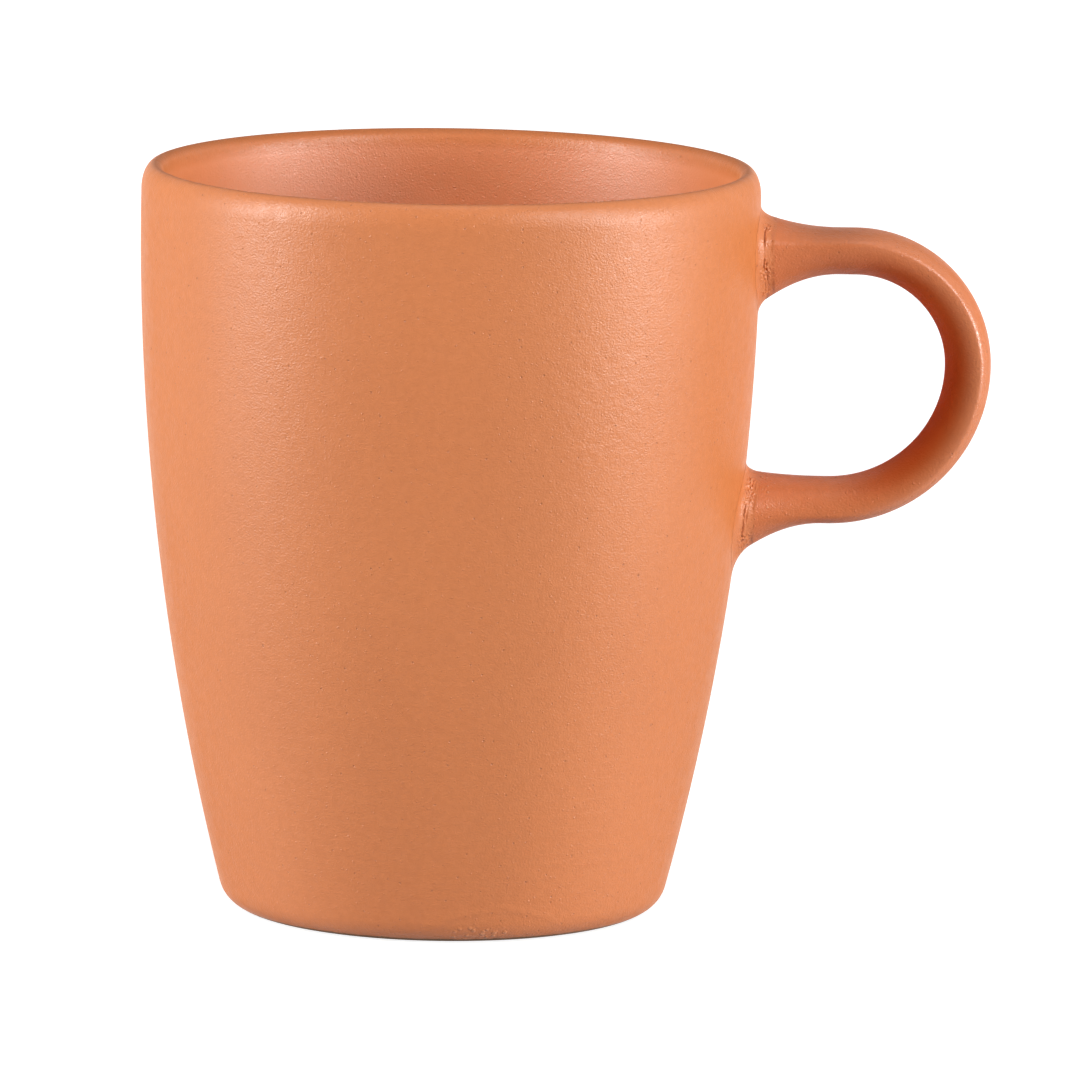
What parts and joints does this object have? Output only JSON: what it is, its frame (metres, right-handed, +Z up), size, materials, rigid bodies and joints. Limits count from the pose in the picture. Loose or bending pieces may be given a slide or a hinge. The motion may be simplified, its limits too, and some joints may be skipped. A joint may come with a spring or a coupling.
{
  "type": "coffee mug",
  "caption": "Tall tapered coffee mug with a rounded lip, a recessed foot ring and a D-shaped strap handle set on the wall with slip, in a matt terracotta finish.",
  "frame": {"origin": "on the cup's axis, in the plane of the foot ring that it stands on", "axes": "+Z up along the cup's axis, +X along the handle, +Y across the handle"},
  "size_m": [0.1128, 0.082, 0.0993],
  "materials": {
    "body_glaze": "matte",
    "handle_glaze": "matte",
    "slip": "matte"
  },
  "bodies": {
    "root": {"cup_body": "body_glaze", "handle": "handle_glaze", "upper_slip_joint": "slip", "lower_slip_joint": "slip"}
  },
  "joints": []
}
